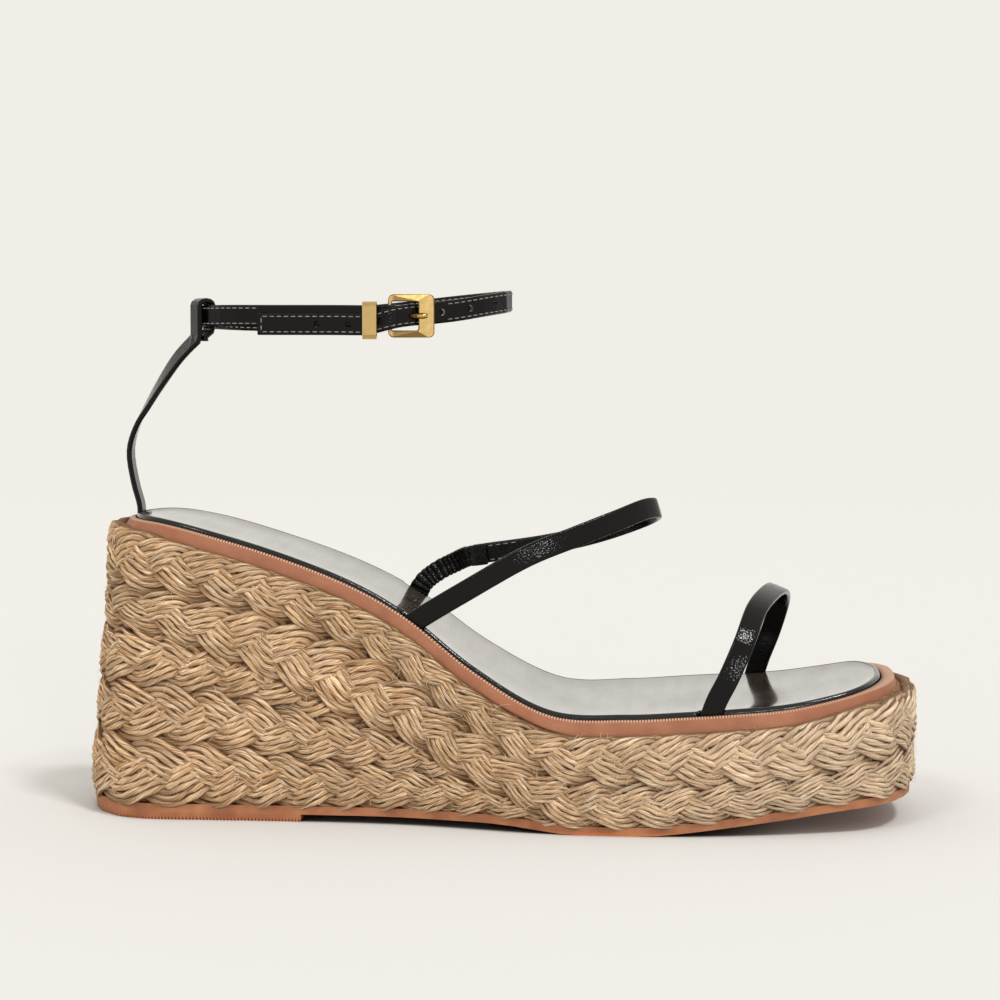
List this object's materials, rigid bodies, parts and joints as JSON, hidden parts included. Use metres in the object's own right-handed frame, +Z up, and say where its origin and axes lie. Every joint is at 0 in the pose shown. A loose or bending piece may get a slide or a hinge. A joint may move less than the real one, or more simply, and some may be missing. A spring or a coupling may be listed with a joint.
{
  "type": "espadrille wedge sandal",
  "caption": "High wedge sandal wrapped in woven jute, with thin black straps across the toes and instep, a heel strap and a buckled ankle strap, on a thin rubber sole",
  "frame": {"origin": "On the ground, at the middle of the flat patch under the heel", "axes": "+X from the heel to the toe, +Z up, +Y towards the inner side of the foot"},
  "size_m": [0.2498, 0.0904, 0.1564],
  "materials": {
    "rubber_tan": "matt tan rubber",
    "jute": "natural jute yarn in flat braids",
    "leather_tan": "smooth tan leather with a soft sheen",
    "leather_black": "black leather with a high gloss and a fine crushed grain",
    "elastic_black": "black elastic covered in gathered leather",
    "gold_metal": "polished pale gold plate"
  },
  "bodies": {
    "root": {"outsole": "rubber_tan", "wedge": "jute", "rand": "leather_tan", "insole": "leather_black", "toe_strap": "leather_black", "vamp_strap": "leather_black", "vamp_elastic": "elastic_black", "heel_strap": "leather_black", "ankle_strap": "leather_black", "buckle_frame": "gold_metal", "buckle_prong": "gold_metal", "keeper": "gold_metal"}
  },
  "joints": []
}
